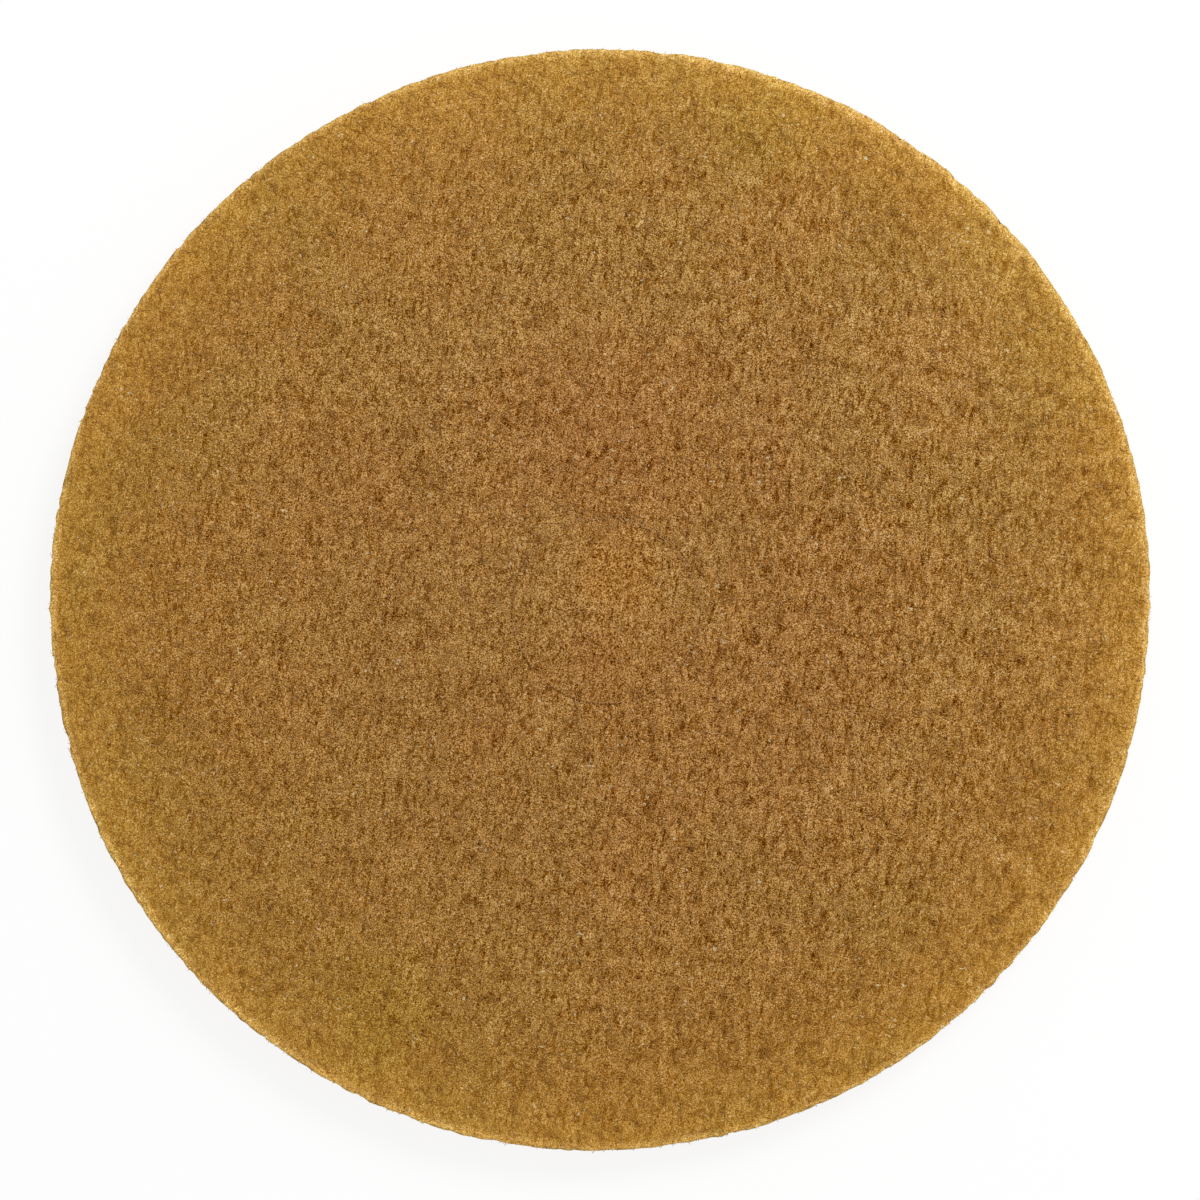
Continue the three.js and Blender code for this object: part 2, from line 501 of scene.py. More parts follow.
def make_mesh(name, points, triangles, smooth=True):
    """A new mesh object from arrays of points and of triangles."""
    mesh = bpy.data.meshes.new(name)
    mesh.vertices.add(len(points))
    mesh.vertices.foreach_set("co", points.astype(np.float32).ravel())
    mesh.loops.add(3 * len(triangles))
    mesh.loops.foreach_set("vertex_index", triangles.astype(np.int32).ravel())
    mesh.polygons.add(len(triangles))
    mesh.polygons.foreach_set("loop_start", np.arange(0, 3 * len(triangles), 3, dtype=np.int32))
    mesh.polygons.foreach_set("use_smooth", np.full(len(triangles), smooth))
    mesh.update(calc_edges=True)
    piece = bpy.data.objects.new(name, mesh)
    bpy.context.scene.collection.objects.link(piece)
    return piece


# Bake map: the face as a disc, the edge as strips under it, hidden faces in a corner
BAKE_MAP = "OFBake"
DISC_MIDDLE = (0.5, 0.535)
DISC_RADIUS = 0.455
STRIPS = 4
STRIP_LENGTH = 0.95
STRIP_START = 0.003
STRIP_HEIGHT = 0.014
STRIP_PITCH = 0.017
HIDDEN_SIZE = 0.05
HIDDEN_SCALE = 0.4

# Bake map of a fibre: a square cell, with its sides along it and its two caps in a margin
CELL_MARGIN = 0.15
CELL_LENGTH = 0.7
CELL_SIDE = 0.35
CELL_SQUEEZE = 0.7
CELL_CAPS = [[0.05, 0.1], [0.1, 0.1], [0.05, 0.2], [0.9, 0.1], [0.95, 0.1], [0.9, 0.2]]


def set_bake_map(piece, uv):
    layer = piece.data.uv_layers.new(name=BAKE_MAP)
    layer.data.foreach_set("uv", uv.astype(np.float32).ravel())


def lay_out_half(piece, points, triangles, regions):
    corners = points[triangles.ravel()]
    region = np.repeat(regions, 3)
    x, y, z = corners.T / pad.reach
    uv = np.column_stack([DISC_MIDDLE[0] + DISC_RADIUS * x, DISC_MIDDLE[1] + DISC_RADIUS * y])
    middle = corners.reshape(-1, 3, 3).mean(1)
    turn_share = np.arctan2(middle[:, 1], middle[:, 0]) % TURN / TURN
    strip = np.repeat(np.minimum((turn_share * STRIPS).astype(int), STRIPS - 1), 3)
    start = TURN * (strip + 0.5) / STRIPS
    along = (np.arctan2(y, x) - start + TURN / 2) % TURN - TURN / 2
    low, high = points[:, 2].min(), points[:, 2].max()
    up = (corners[:, 2] - low) / (high - low)
    edge = region == EDGE
    uv[edge, 0] = 0.5 + STRIP_LENGTH * STRIPS * along[edge] / TURN
    uv[edge, 1] = STRIP_START + STRIP_PITCH * strip[edge] + STRIP_HEIGHT * up[edge]
    hidden = region == HIDDEN
    scale = HIDDEN_SCALE * HIDDEN_SIZE
    uv[hidden, 0] = 1 - HIDDEN_SIZE + scale * x[hidden]
    uv[hidden, 1] = 1 - HIDDEN_SIZE + scale * (y[hidden] + z[hidden])
    set_bake_map(piece, uv)


def curly_paths(count, start_u, start_v, lean):
    """Flat curly paths from the given starts; lean turns them towards the second axis."""
    heading = rng.uniform(0, TURN, count)
    heading = heading + lean * np.sin(2 * heading)
    bend = rng.normal(0, FIBRE_BEND, count)
    paths = np.empty((count, FIBRE_POINTS, 2))
    paths[:, 0] = np.column_stack([start_u, start_v])
    for k in range(1, FIBRE_POINTS):
        step = np.column_stack([np.cos(heading), np.sin(heading)]) * FIBRE_STEP
        step *= rng.uniform(*STEP_SPREAD, (count, 1))
        paths[:, k] = paths[:, k - 1] + step
        heading = heading + bend + rng.normal(0, FIBRE_BEND / 2, count)
    return paths


def tubes(name, spines, normals, radii, tones):
    """One mesh of closed tubes along the spines, which are count x points x 3."""
    count, length = spines.shape[:2]
    tangent = np.gradient(spines, axis=1)
    side = np.cross(tangent, normals)
    side /= np.linalg.norm(side, axis=2, keepdims=True)
    rise = np.cross(side, tangent)
    rise /= np.linalg.norm(rise, axis=2, keepdims=True)
    taper = np.full(length, 1.0)
    taper[[0, -1]] = TIP_TAPER
    thickness = radii[:, None] * taper
    points = np.empty((count, length, FIBRE_SIDES, 3))
    for m in range(FIBRE_SIDES):
        turn = TURN * (m / FIBRE_SIDES + 0.25)
        way = math.cos(turn) * side + math.sin(turn) * rise
        points[:, :, m] = spines + way * thickness[..., None]
    one = []
    for k in range(length - 1):
        for m in range(FIBRE_SIDES):
            a = k * FIBRE_SIDES + m
            b = k * FIBRE_SIDES + (m + 1) % FIBRE_SIDES
            one += [(a, b, b + FIBRE_SIDES), (a, b + FIBRE_SIDES, a + FIBRE_SIDES)]
    last = (length - 1) * FIBRE_SIDES
    one += [(2, 1, 0), (last, last + 1, last + 2)]
    one = np.array(one)
    triangles = one[None] + (np.arange(count) * length * FIBRE_SIDES)[:, None, None]
    piece = make_mesh(name, points.reshape(-1, 3), triangles.reshape(-1, 3))
    # The tone is partly painted light and shade, as the callers give it
    tone = piece.data.attributes.new("tone", "FLOAT", "POINT")
    tone.data.foreach_set("value", np.repeat(tones, length * FIBRE_SIDES).astype(np.float32))
    lay_out_tubes(piece, one, count, length)
    return piece


def lay_out_tubes(piece, one, count, length):
    """A cell for each tube. The side that closes a tube is laid past its last corner."""
    cells = math.ceil(math.sqrt(count))
    row, side = np.divmod(one.ravel(), FIBRE_SIDES)
    along = CELL_MARGIN + CELL_LENGTH * row / (length - 1)
    flat = np.column_stack([along, CELL_MARGIN + CELL_SIDE * side])
    corner_sides = (one % FIBRE_SIDES).reshape(-1, 3)
    wraps = (corner_sides.min(1) == 0) & (corner_sides.max(1) == FIBRE_SIDES - 1)
    wraps[-2:] = False
    wrapped = np.repeat(wraps, 3) & (side == 0)
    flat[wrapped, 1] += CELL_SIDE * FIBRE_SIDES
    flat[:, 1] *= CELL_SQUEEZE
    flat[-len(CELL_CAPS):] = CELL_CAPS
    cell = np.column_stack(np.divmod(np.arange(count), cells))
    set_bake_map(piece, (flat[None] + cell[:, None]) / cells)


def bares_slit(paths):
    """True for paths left out over the slit; the rest lie across it, as felted fibres do."""
    away = paths - pad.plug_centre
    from_slit = np.hypot(away[..., 0], away[..., 1]) - pad.plug_radius
    near = np.abs(from_slit).min(1) < SLIT_NEAR
    jumps = (from_slit.min(1) < 0) & (from_slit.max(1) > 0)
    on_bridge = pad.bridged_at(away[..., 0], away[..., 1]).all(1)
    left_out = rng.uniform(0, 1, len(paths)) > SLIT_COVER
    return (near | jumps) & ~on_bridge & left_out


def arched(arch):
    """Height of each point of the fibres over the surface that they loop out of."""
    return arch[:, None] * FIBRE_SWELL - FIBRE_TIP_SINK


def tone_and_shade_of(arch):
    """Tone of each fibre from 0 to 1, partly painted shade: brighter where it stands out far,
    darker where it stands out little.
    """
    lifted = (arch - FIBRE_ARCH[0]) / (FIBRE_ARCH[1] - FIBRE_ARCH[0])
    return CHANCE_TONE * rng.uniform(0, 1, len(arch)) + (1 - CHANCE_TONE) * lifted


def felted_depth(paths, upper, seed, over, lips=True):
    """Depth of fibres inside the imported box, from the face that they lie in."""
    x, y = paths.reshape(-1, 2).T
    depth = pad.face_depth(x, y, upper, lips) + FACE_SINK + FACE_FOLLOW * face_relief(x, y, seed)
    return depth.reshape(paths.shape[:2]) - over


def scatter_face_fibres(name, count, upper, seed):
    """Fibres that loop out of one face and back into it."""
    kept = np.empty((0, FIBRE_POINTS, 2))
    while len(kept) < count:
        radius = pad.reach * np.sqrt(rng.uniform(0, 1, count))
        angle = rng.uniform(0, TURN, count)
        paths = curly_paths(count, radius * np.cos(angle), radius * np.sin(angle), FACE_LEAN)
        turn = np.arctan2(paths[..., 1], paths[..., 0]) % TURN
        reach = np.hypot(paths[..., 0], paths[..., 1])
        outside = (reach > web_outline(turn) - EDGE_SINK).any(1)
        kept = np.concatenate([kept, paths[~outside & ~bares_slit(paths)]])
    paths = kept[:count]
    arch = rng.uniform(*FIBRE_ARCH, count)
    radii = rng.uniform(*FIBRE_RADIUS, count)
    depth = np.maximum(felted_depth(paths, upper, seed, arched(arch)), radii[:, None])
    height = pad.thickness - depth if upper else depth
    spines = np.concatenate([paths, height[..., None]], 2)
    normals = np.broadcast_to([0, 0, 1.0 if upper else -1.0], spines.shape)
    return tubes(name, spines, normals, radii, tone_and_shade_of(arch))


def scatter_slit_fibres(name, count):
    """Fibres felted over the slit in the upper face, so that it shows as a broken line."""
    angle = rng.uniform(0, TURN, 4 * count)
    hidden = (0.5 + 0.5 * np.cos(angle - HIDDEN_TURN)) ** 2
    crowd = LEAST_CROWD + (1 - LEAST_CROWD) * hidden
    angle = angle[rng.uniform(0, 1, len(angle)) < crowd][:count]
    count = len(angle)
    start = pad.plug_radius + rng.uniform(*SLIT_START_MM, count) * MM
    outwards = np.stack([np.cos(angle), np.sin(angle)], 1)
    sidewards = np.stack([-np.sin(angle), np.cos(angle)], 1)
    paths = np.empty((count, FIBRE_POINTS, 2))
    paths[:, 0] = pad.plug_centre + outwards * start[:, None]
    slant = rng.normal(0, SLIT_SLANT, count)
    for k in range(1, FIBRE_POINTS):
        slant = slant + rng.normal(0, SLIT_BEND, count)
        way = np.cos(slant)[:, None] * outwards + np.sin(slant)[:, None] * sidewards
        paths[:, k] = paths[:, k - 1] + SLIT_STEP * way
    over = SLIT_ARCH * FIBRE_SWELL - SLIT_TIP_SINK
    depth = felted_depth(paths, True, UPPER_SEED, over, lips=False)
    spines = np.concatenate([paths, (pad.thickness - depth)[..., None]], 2)
    normals = np.broadcast_to([0, 0, 1.0], spines.shape)
    radii = rng.uniform(*FIBRE_RADIUS, count)
    # Painted light: tones raised to offset the shade of the lips
    return tubes(name, spines, normals, radii, rng.uniform(*SLIT_TONES_AND_LIGHT, count))


def scatter_edge_fibres(name, count):
    """Fibres that the die cut: loops in the edge wall, and some loose ends."""
    angle = rng.uniform(0, TURN, count)
    height = rng.uniform(EDGE_START, pad.thickness - EDGE_START, count)
    paths = curly_paths(count, angle * pad.reach, height, EDGE_LEAN)
    turn = paths[..., 0] / pad.reach
    z = np.clip(paths[..., 1], EDGE_LIMIT, pad.thickness - EDGE_LIMIT)
    arch = rng.uniform(*FIBRE_ARCH, count)
    over = arched(arch)
    loose = rng.uniform(0, 1, count) < LOOSE_SHARE
    over[loose, -1] = rng.uniform(*LOOSE_REACH, loose.sum())
    half = pad.thickness / 2
    shoulder = SHOULDER_DROP * smoothstep(np.abs(z - half), half - SHOULDER_WIDTH, half)
    depth = EDGE_SINK + shoulder + EDGE_FOLLOW * edge_relief(turn, z)
    radius = web_outline(turn) - depth + over
    spines = np.stack([radius * np.cos(turn), radius * np.sin(turn), z], 2)
    normals = np.stack([np.cos(turn), np.sin(turn), 0 * turn], 2)
    radii = rng.uniform(*FIBRE_RADIUS, count)
    return tubes(name, spines, normals, radii, tone_and_shade_of(arch))


def linear(red, green, blue):
    """Scene-linear colour of an sRGB colour given from 0 to 255."""
    values = [channel / 255 for channel in (red, green, blue)]
    return tuple(v / 12.92 if v < 0.04045 else ((v + 0.055) / 1.055) ** 2.4 for v in values)


class Graph:
    """A material's nodes, made by short calls that return the sockets to link on."""

    def __init__(self, name, owner=None):
        self.material = owner or bpy.data.materials.new(name)
        self.material.use_nodes = True
        self.nodes = self.material.node_tree.nodes
        self.links = self.material.node_tree.links
        self.nodes.clear()

    def add(self, kind, inputs=(), **settings):
        made = self.nodes.new(kind)
        for key, value in settings.items():
            setattr(made, key, value)
        for key, value in dict(inputs).items():
            if isinstance(value, bpy.types.NodeSocket):
                self.links.new(value, made.inputs[key])
            else:
                made.inputs[key].default_value = value
        return made

    def seen(self):
        """1 for what the camera sees, straight or in a reflection or through glass."""
        path = self.add("ShaderNodeLightPath").outputs
        gloss = self.math("MAXIMUM", path["Is Glossy Ray"], path["Is Transmission Ray"])
        return self.math("MAXIMUM", path["Is Camera Ray"], gloss)

    def math(self, operation, a, b=0.0, clamp=False):
        made = self.add("ShaderNodeMath", {0: a, 1: b}, operation=operation, use_clamp=clamp)
        return made.outputs[0]

    def span(self, value, start, end, low=0.0, high=1.0, kind="SMOOTHSTEP"):
        """Runs from low to high while the value runs from start to end."""
        inputs = {"Value": value, "From Min": start, "From Max": end, "To Min": low, "To Max": high}
        return self.add("ShaderNodeMapRange", inputs, interpolation_type=kind).outputs[0]

    def outwards(self, radius, shares, low=0.0, high=1.0):
        """A span over the radius, from one share of the pad's reach to another."""
        return self.span(radius, shares[0] * pad.reach, shares[1] * pad.reach, low, high)

    def at_wall(self, radius, low=0.0, high=1.0):
        """A span over the last millimetres of the radius, at the cut edge."""
        return self.span(radius, pad.reach - WALL_FROM, pad.reach - WALL_TO, low, high)

    def total(self, start, *parts):
        """A start value plus what each value, less its middle and times its weight, adds."""
        whole = start
        for value, middle, weight in parts:
            off = self.math("SUBTRACT", value, middle)
            whole = self.math("ADD", self.math("MULTIPLY", off, weight), whole)
        return whole

    def ramp(self, value, tones):
        """Colour ramp through sRGB colours at their places from 0 to 1."""
        made = self.add("ShaderNodeValToRGB", {"Fac": value})
        elements = made.color_ramp.elements
        while len(elements) < len(tones):
            elements.new(0.5)
        for element, (place, color) in zip(elements, tones.items()):
            element.position = place
            element.color = (*linear(*color), 1)
        return made.outputs[0]

    def radius(self, place, shift=(0, 0, 0)):
        """Level distance from the pad's axis, or from an axis shifted the other way."""
        moved = self.add("ShaderNodeVectorMath", {0: place, 1: shift}, operation="ADD")
        inputs = {0: moved.outputs[0], 1: (1, 1, 0)}
        flat = self.add("ShaderNodeVectorMath", inputs, operation="MULTIPLY")
        length = self.add("ShaderNodeVectorMath", {0: flat.outputs[0]}, operation="LENGTH")
        return length.outputs["Value"]

    def finish(self, color, roughness, normal):
        """Dry matt fibre: all of its light comes from inside it, so it has no clear gloss."""
        inputs = {"Base Color": color, "Roughness": roughness, "Normal": normal}
        inputs["Specular IOR Level"] = 0.0
        shader = self.add("ShaderNodeBsdfPrincipled", inputs)
        self.add("ShaderNodeOutputMaterial", {"Surface": shader.outputs[0]})

    def mix(self, share, a, b, blend="MIX"):
        inputs = {0: share, 6: (*a, 1) if isinstance(a, tuple) else a}
        inputs[7] = (*b, 1) if isinstance(b, tuple) else b
        made = self.add("ShaderNodeMix", inputs, data_type="RGBA", blend_type=blend)
        return made.outputs[2]

    def noise(self, place, size, detail=2.0, roughness=0.5):
        inputs = {"Vector": place, "Scale": 1 / size, "Detail": detail, "Roughness": roughness}
        return self.add("ShaderNodeTexNoise", inputs).outputs["Fac"]

    def turned(self, place, scale, turn=(0, 0, 0), shift=(0, 0, 0)):
        inputs = {"Vector": place, "Scale": scale, "Rotation": turn, "Location": shift}
        return self.add("ShaderNodeMapping", inputs, vector_type="TEXTURE").outputs[0]

    def strands(self, place, width, length, turn, shift, sharpness):
        """Thin curly lines: where a stretched noise passes its middle value."""
        moved = self.turned(place, (width, length, width), (0, 0, turn), shift)
        value = self.add("ShaderNodeTexNoise", {"Vector": moved, "Scale": 1.0, "Detail": 1.0})
        off = self.math("ABSOLUTE", self.math("SUBTRACT", value.outputs["Fac"], 0.5))
        return self.math("SUBTRACT", 1.0, self.math("MULTIPLY", off, sharpness), clamp=True)


# Colours of the web by brightness, as sRGB, from its pits to its brightest fibres: partly
# the web's own tone, and partly painted light, with painted shade in its pits and gaps at
# the dark end and painted highlights on its top fibres at the pale end
WEB_TONES_SHADE_AND_HIGHLIGHT = {
    0.0: (74, 26, 0),
    0.25: (116, 63, 3),
    0.5: (155, 106, 36),
    0.75: (197, 149, 73),
    1.0: (237, 200, 140),
}
# Colours of the fibres by tone, as sRGB; the dark end is partly painted shade on fibres that stand
# out little
FIBRE_TONES_AND_SHADE = {0.0: (154, 104, 36), 0.5: (202, 153, 78), 1.0: (242, 203, 138)}
# Painted light: the golden glow of light through the thin rim
RIM_GLOW_GOLD = linear(198, 152, 66)
# Painted highlight: the colour of pale glinting specks
GLINT_COLOR = linear(246, 230, 190)

# Tints over the whole pad: towards the lower left, in the middle, outside it, paler still
# near the rim, in broad drifts and in spots
LEAN_TINT = (0.98, 0.95, 0.86)
MIDDLE_TINT = (1.0, 0.9, 0.9)
OUTER_TINT = (1.12, 1.16, 1.02)
PALE_TINT = (1.0, 1.0, 1.15)
BROAD_TINT = (1.02, 0.97, 0.97)
SPOT_TINT = (0.93, 0.91, 0.88)

# Where they lie, as shares of the pad's reach or as spans of their noise, and how strong
# they are
LEAN_REACH = 0.25
MIDDLE_SPAN = (0.35, 0.9)
MIDDLE_SHARE = 0.5
OUTER_SHARE = 0.6
PALE_SPAN = (0.6, 0.88)
BROAD_SIZE = 70 * MM
BROAD_SPAN = (0.4, 0.6)
SPOT_SIZE = 16 * MM
SPOT_SPAN = (0.35, 0.65)

# Painted light at the rim and the cut edge: the glow of light coming through the thin web
# is painted into their colour, and the cut edge is painted brighter, more so high on the wall
RIM_GLOW_TINT = (1.44, 1.6, 1.55)
RIM_START = 0.3
RIM_POWER = 8.0
RIM_GLOW_SHARE = 0.25
WALL_GLOW_TINT = (1.4, 1.6, 2.2)
WALL_FROM = 5 * MM
WALL_TO = 1.2 * MM
WALL_HEIGHTS = (0.5, 0.85)
WALL_LOW_SHARE = 0.5

# Soft patches: place and size in millimetres and tint. An orange one lies in the plug with
# a reddish one under it, and greenish yellow ones lie near the rim
PATCHES = [
    (8, 12, 21, (1.06, 0.99, 0.83)),
    (-4, -22, 15, (0.98, 0.9, 0.9)),
    (0, 72, 38, (0.97, 0.93, 0.96)),
    (75, 207, 30, (1.02, 1.12, 1.04)),
    (-96, -180, 34, (1.0, 1.08, 0.85)),
    (150, 130, 48, (1.08, 1.11, 1.22)),
]
PATCH_SPAN = (0.9, 1.6)
PATCH_SHARE = 0.75

# Tangle of the web: width and length of its strands in millimetres, turn and shift
TANGLE = [
    (0.62, 2.1, 0.2, (0, 0, 0)),
    (0.58, 1.9, 0.95, (0.3, 0.1, 0.2)),
    (0.6, 2.0, 1.8, (0.7, 0.5, 0.4)),
    (0.6, 2.0, 2.6, (0.2, 0.9, 0.6)),
]
TANGLE_SHARPNESS = 9.0

# Creases along the grain, a few in patches, painted dark as the shade in them. They and the
# streaks along the grain, whose light and dark is partly painted relief shade, are painted
# stronger on the right, towards the key lamp
CREASE_SIZE = (3.0 * MM, 11.0 * MM)
CREASE_TURN = -0.12
CREASE_SHIFT = (0.4, 0.2, 0.3)
CREASE_SHARPNESS = 11.0
CREASE_PATCH = 6 * MM
CREASE_SPAN = (0.48, 0.6)
SIDE_SHADE_PLACES = (-0.1, 0.12)
LEAST_SIDE_SHADE = 0.35

# What the web's brightness is made of: the middle and the weight of each part. Its pits
# are painted shade
WEB_PARTS = {
    "tangle": (0.7, 1.0),
    "grain": (0.5, 2.0),
    "clumps": (0.5, 0.2),
    "pits": (0.75, 0.26),
    "streaks": (0.0, 0.4),
    "crease_shade": (0.08, -0.25),
}
WEB_MIDDLE = 0.5
GRAIN_SIZE = 0.58 * MM
CLUMP_SIZE = 2.4 * MM
TEXTURE_ROUGHNESS = 0.6
# Painted shade: dark pits, where shade falls in the web's hollows
PIT_SHADE_SIZE = (1.8 * MM, 5.4 * MM, 1.6 * MM)
PIT_SHADE_TURN = (0, 0, -0.2)
PIT_SHADE_SPAN = (0.3, 0.5)
TEXTURE_STREAK_SIZE = (2.6 * MM, 10.0 * MM, 2.6 * MM)

# Contrast falls towards the rim: the share of the reach where it starts to, and what is left
WEB_CALM_START = 0.55
WEB_CALM = 0.62
FIBRE_CALM_START = 0.7
FIBRE_CALM = 0.55

# Painted highlights: pale glinting specks, in flocks
SPECK_SIZE = 1.5 * MM
SPECK_SPAN = (0.67, 0.74)
SPECK_SHARE = 0.7
FLOCK_SIZE = 11 * MM
FLOCK_SPAN = (0.5, 0.6)

# Finish: roughness from dark to bright parts, and fine bumps, weaker in the cut edge
WEB_ROUGHNESS = (1, 0.8)
WEB_BUMP = (0.6, 0.2)
WEB_BUMP_DEPTH = 0.3 * MM
FIBRE_GRAIN_SIZE = 0.7 * MM
FIBRE_GRAIN_WEIGHT = 1.2
FIBRE_ROUGHNESS = (0.95, 0.75)
FIBRE_BUMP = 0.3
FIBRE_BUMP_DEPTH = 0.1 * MM


def tinted_with_glow(graph, place, color):
    """Slow drifts of hue over the pad, and painted light: a golden rim glow and a brighter cut
    edge.
    """
    radius = graph.radius(place)
    x, y, z = graph.add("ShaderNodeSeparateXYZ", {0: place}).outputs
    middle = graph.outwards(radius, MIDDLE_SPAN, 1, 0)
    outer = graph.math("SUBTRACT", 1.0, middle)
    spots = graph.noise(place, SPOT_SIZE)
    tints = [
        (graph.span(graph.math("ADD", x, y), LEAN_REACH, -LEAN_REACH, kind="LINEAR"), LEAN_TINT),
        (graph.math("MULTIPLY", middle, MIDDLE_SHARE), MIDDLE_TINT),
        (graph.math("MULTIPLY", outer, OUTER_SHARE), OUTER_TINT),
        (graph.outwards(radius, PALE_SPAN), PALE_TINT),
        (graph.span(graph.noise(place, BROAD_SIZE), *BROAD_SPAN), BROAD_TINT),
        (graph.span(spots, *SPOT_SPAN), SPOT_TINT),
    ]
    for patch_x, patch_y, size, tint in PATCHES:
        away = graph.radius(place, (-patch_x * MM, -patch_y * MM, 0))
        rough = graph.math("ADD", away, graph.math("MULTIPLY", spots, size * MM))
        start, end = (share * size * MM for share in PATCH_SPAN)
        tints.append((graph.span(rough, start, end, PATCH_SHARE, 0), tint))
    # Painted light: the rim glows brighter and more golden, as light comes through it
    rim_glow = graph.span(radius, RIM_START * pad.reach, pad.reach, kind="LINEAR")
    rim_glow = graph.math("POWER", rim_glow, RIM_POWER)
    tints.append((rim_glow, RIM_GLOW_TINT))
    for share, tint in tints:
        color = graph.mix(share, color, tint, "MULTIPLY")
    color = graph.mix(graph.math("MULTIPLY", rim_glow, RIM_GLOW_SHARE), color, RIM_GLOW_GOLD)
    # Painted light: the cut edge's last millimetres are brighter, more so high on the wall
    start, end = (share * pad.thickness for share in WALL_HEIGHTS)
    high = graph.span(z, start, end, WALL_LOW_SHARE, 1)
    wall_glow = graph.math("MULTIPLY", graph.at_wall(radius), high)
    return graph.mix(wall_glow, color, WALL_GLOW_TINT, "MULTIPLY")


def web_parts(graph, place):
    """The parts of the web's brightness, by the names that WEB_PARTS has for them. The pits
    and creases are painted shade, and the light and dark of the streaks partly painted relief
    shade.
    """
    tangle = 0.0
    for width, length, turn, shift in TANGLE:
        layer = graph.strands(place, width * MM, length * MM, turn, shift, TANGLE_SHARPNESS)
        tangle = graph.math("MAXIMUM", tangle, layer)
    # Painted shade: dark pits where shade falls in the web's hollows
    pits = graph.noise(graph.turned(place, PIT_SHADE_SIZE, PIT_SHADE_TURN), 1.0, 1.0)
    streaks = graph.noise(graph.turned(place, TEXTURE_STREAK_SIZE), 1.0, 1.0)
    # Painted shade: streaks and creases painted stronger on the right, towards the key lamp
    x = graph.add("ShaderNodeSeparateXYZ", {0: place}).outputs[0]
    side_shade = graph.span(x, *SIDE_SHADE_PLACES, LEAST_SIDE_SHADE, 1)
    crease_shade = graph.strands(place, *CREASE_SIZE, CREASE_TURN, CREASE_SHIFT, CREASE_SHARPNESS)
    some = graph.span(graph.noise(place, CREASE_PATCH, 1.0), *CREASE_SPAN)
    crease_shade = graph.math("MULTIPLY", crease_shade, some)
    return {
        "tangle": tangle,
        "grain": graph.noise(place, GRAIN_SIZE, 1.0, TEXTURE_ROUGHNESS),
        "clumps": graph.noise(place, CLUMP_SIZE, 2.0, TEXTURE_ROUGHNESS),
        "pits": graph.span(pits, *PIT_SHADE_SPAN),
        "streaks": graph.math("MULTIPLY", graph.math("SUBTRACT", streaks, 0.5), side_shade),
        "crease_shade": graph.math("MULTIPLY", crease_shade, side_shade),
    }


def web_material():
    graph = Graph("web")
    place = graph.add("ShaderNodeTexCoord").outputs["Object"]
    radius = graph.radius(place)
    parts = web_parts(graph, place)
    whole = graph.total(0.0, *((parts[name], *WEB_PARTS[name]) for name in WEB_PARTS))
    calm = graph.outwards(radius, (WEB_CALM_START, 1), 1, WEB_CALM)
    level = graph.math("ADD", graph.math("MULTIPLY", whole, calm), WEB_MIDDLE)
    color = tinted_with_glow(graph, place, graph.ramp(level, WEB_TONES_SHADE_AND_HIGHLIGHT))
    # Painted highlights: pale glinting specks, in flocks
    specks = graph.span(graph.noise(place, SPECK_SIZE, 1.0), *SPECK_SPAN, 0, SPECK_SHARE)
    flocked = graph.span(graph.noise(place, FLOCK_SIZE, 1.0), *FLOCK_SPAN)
    color = graph.mix(graph.math("MULTIPLY", specks, flocked), color, GLINT_COLOR)
    strength = graph.at_wall(radius, *WEB_BUMP)
    inputs = {"Height": level, "Strength": strength, "Distance": WEB_BUMP_DEPTH}
    bump = graph.add("ShaderNodeBump", inputs)
    graph.finish(color, graph.span(level, 0, 1, *WEB_ROUGHNESS), bump.outputs[0])
    return graph.material


def fibre_material():
    graph = Graph("fibre")
    place = graph.add("ShaderNodeTexCoord").outputs["Object"]
    # The tone carries painted shade, darker on fibres that stand out little, and painted light on
    # those over the slit
    tone = graph.add("ShaderNodeAttribute", attribute_name="tone").outputs["Fac"]
    grain = graph.noise(place, FIBRE_GRAIN_SIZE, 1.0)
    calm = graph.outwards(graph.radius(place), (FIBRE_CALM_START, 1), 1, FIBRE_CALM)
    calmed = graph.math("MULTIPLY", tone, calm)
    level = graph.total(calmed, (grain, 0.5, FIBRE_GRAIN_WEIGHT))
    color = tinted_with_glow(graph, place, graph.ramp(level, FIBRE_TONES_AND_SHADE))
    inputs = {"Height": grain, "Strength": FIBRE_BUMP, "Distance": FIBRE_BUMP_DEPTH}
    bump = graph.add("ShaderNodeBump", inputs)
    graph.finish(color, graph.span(level, 0, 1, *FIBRE_ROUGHNESS), bump.outputs[0])
    return graph.material


def dress(piece, material):
    piece.data.materials.append(material)
    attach(piece, "root")
    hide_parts(PAD_NODE)


def make_pad():
    web = web_material()
    fibre = fibre_material()
    halves = [
        make_web_half("web_upper", True, UPPER_SEED, UPPER_STEP),
        make_web_half("web_lower", False, LOWER_SEED, LOWER_STEP),
    ]
    for half in halves:
        dress(half, web)
    strands = [
        scatter_face_fibres("fibres_upper_a", FACE_FIBRES, True, UPPER_SEED),
        scatter_face_fibres("fibres_upper_b", FACE_FIBRES, True, UPPER_SEED),
        scatter_face_fibres("fibres_lower", LOWER_FIBRES, False, LOWER_SEED),
        scatter_edge_fibres("fibres_edge", EDGE_FIBRES),
        scatter_slit_fibres("fibres_slit", SLIT_FIBRES),
    ]
    for piece in strands:
        dress(piece, fibre)


# White ground: half its side, what it throws on the pad, and what the camera sees of it
FLOOR_REACH = 40.0
FLOOR_BOUNCE = 0.8
FLOOR_SHADE = 0.16
FLOOR_GLOW = 0.86


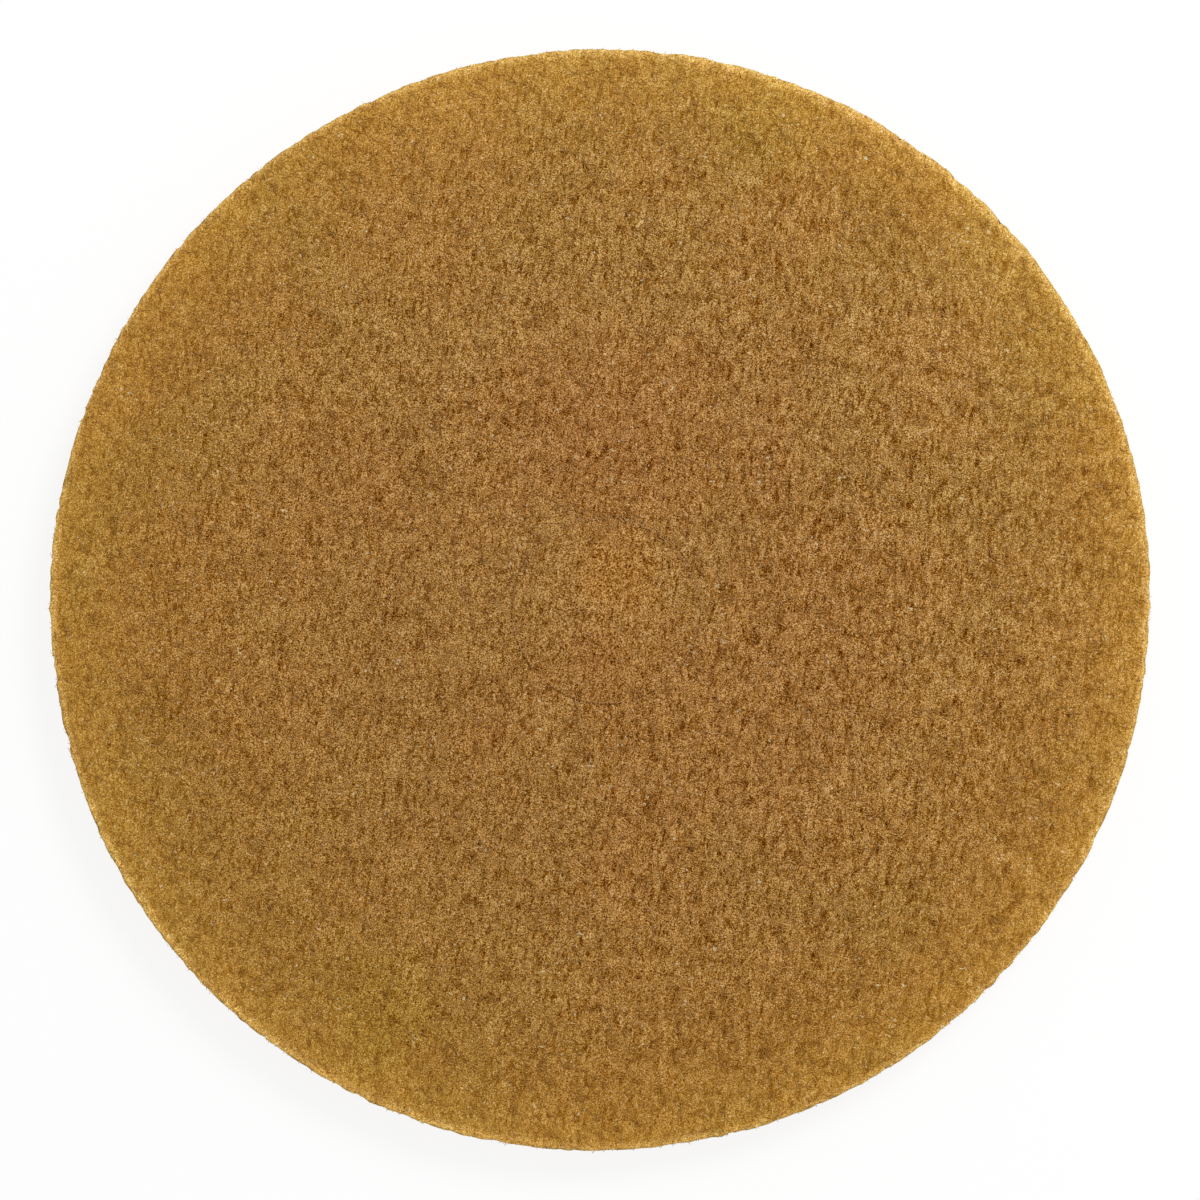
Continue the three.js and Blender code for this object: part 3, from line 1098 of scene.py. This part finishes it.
def make_floor():
    """White ground: its shade shows a shadow, and the camera sees it nearly white."""
    graph = Graph("ground")
    seen = graph.seen()
    tone = graph.mix(seen, (FLOOR_BOUNCE,) * 3, (FLOOR_SHADE,) * 3)
    diffuse = graph.add("ShaderNodeBsdfDiffuse", {"Color": tone})
    strength = graph.math("MULTIPLY", seen, FLOOR_GLOW)
    glow = graph.add("ShaderNodeEmission", {"Color": (1, 1, 1, 1), "Strength": strength})
    both = graph.add("ShaderNodeAddShader", {0: diffuse.outputs[0], 1: glow.outputs[0]})
    graph.add("ShaderNodeOutputMaterial", {"Surface": both.outputs[0]})
    corners = FLOOR_REACH * np.array([(-1, -1, 0), (1, -1, 0), (1, 1, 0), (-1, 1, 0)])
    floor = make_mesh("ground", corners, np.array([(0, 1, 2), (0, 2, 3)]), smooth=False)
    floor.data.materials.append(graph.material)


# Light: even and white from all round, and one large lamp above the upper right
WORLD_LIGHT = 0.5
KEY_PLACE = (0.9, 1.1, 1.7)
KEY_SIZE = 0.9
KEY_POWER = 25


def make_world():
    """The camera sees white, and the pad gets only part of that light."""
    world = bpy.data.worlds.new("studio")
    bpy.context.scene.world = world
    graph = Graph("studio", world)
    strength = graph.span(graph.seen(), 0, 1, WORLD_LIGHT, kind="LINEAR")
    shine = graph.add("ShaderNodeBackground", {"Color": (1, 1, 1, 1), "Strength": strength})
    graph.add("ShaderNodeOutputWorld", {"Surface": shine.outputs[0]})


def add_area_light(name, place, size, power):
    data = bpy.data.lights.new(name, "AREA")
    data.shape = "DISK"
    data.size = size
    data.energy = power
    lamp = bpy.data.objects.new(name, data)
    lamp.location = place
    lamp.rotation_euler = (-Vector(place)).to_track_quat("-Z", "Y").to_euler()
    bpy.context.scene.collection.objects.link(lamp)


def make_camera():
    """Straight above the pad, with the grain upright, so far that the outline fits."""
    side_px = PHOTO_SIDE_PX / (2 * PAD_RADIUS_PX)
    framed = 2 * pad.reach * side_px
    distance = framed * LENS_MM / SENSOR_MM
    data = bpy.data.cameras.new("camera")
    data.lens = LENS_MM
    data.sensor_width = SENSOR_MM
    data.clip_end = 100
    camera = bpy.data.objects.new("camera", data)
    camera.location = (0, 0, pad.thickness - SHOULDER_DROP + distance)
    bpy.context.scene.collection.objects.link(camera)
    bpy.context.scene.camera = camera


make_pad()
make_floor()
make_world()
add_area_light("key", KEY_PLACE, KEY_SIZE, KEY_POWER)
make_camera()
bpy.context.scene.view_settings.view_transform = "Standard"
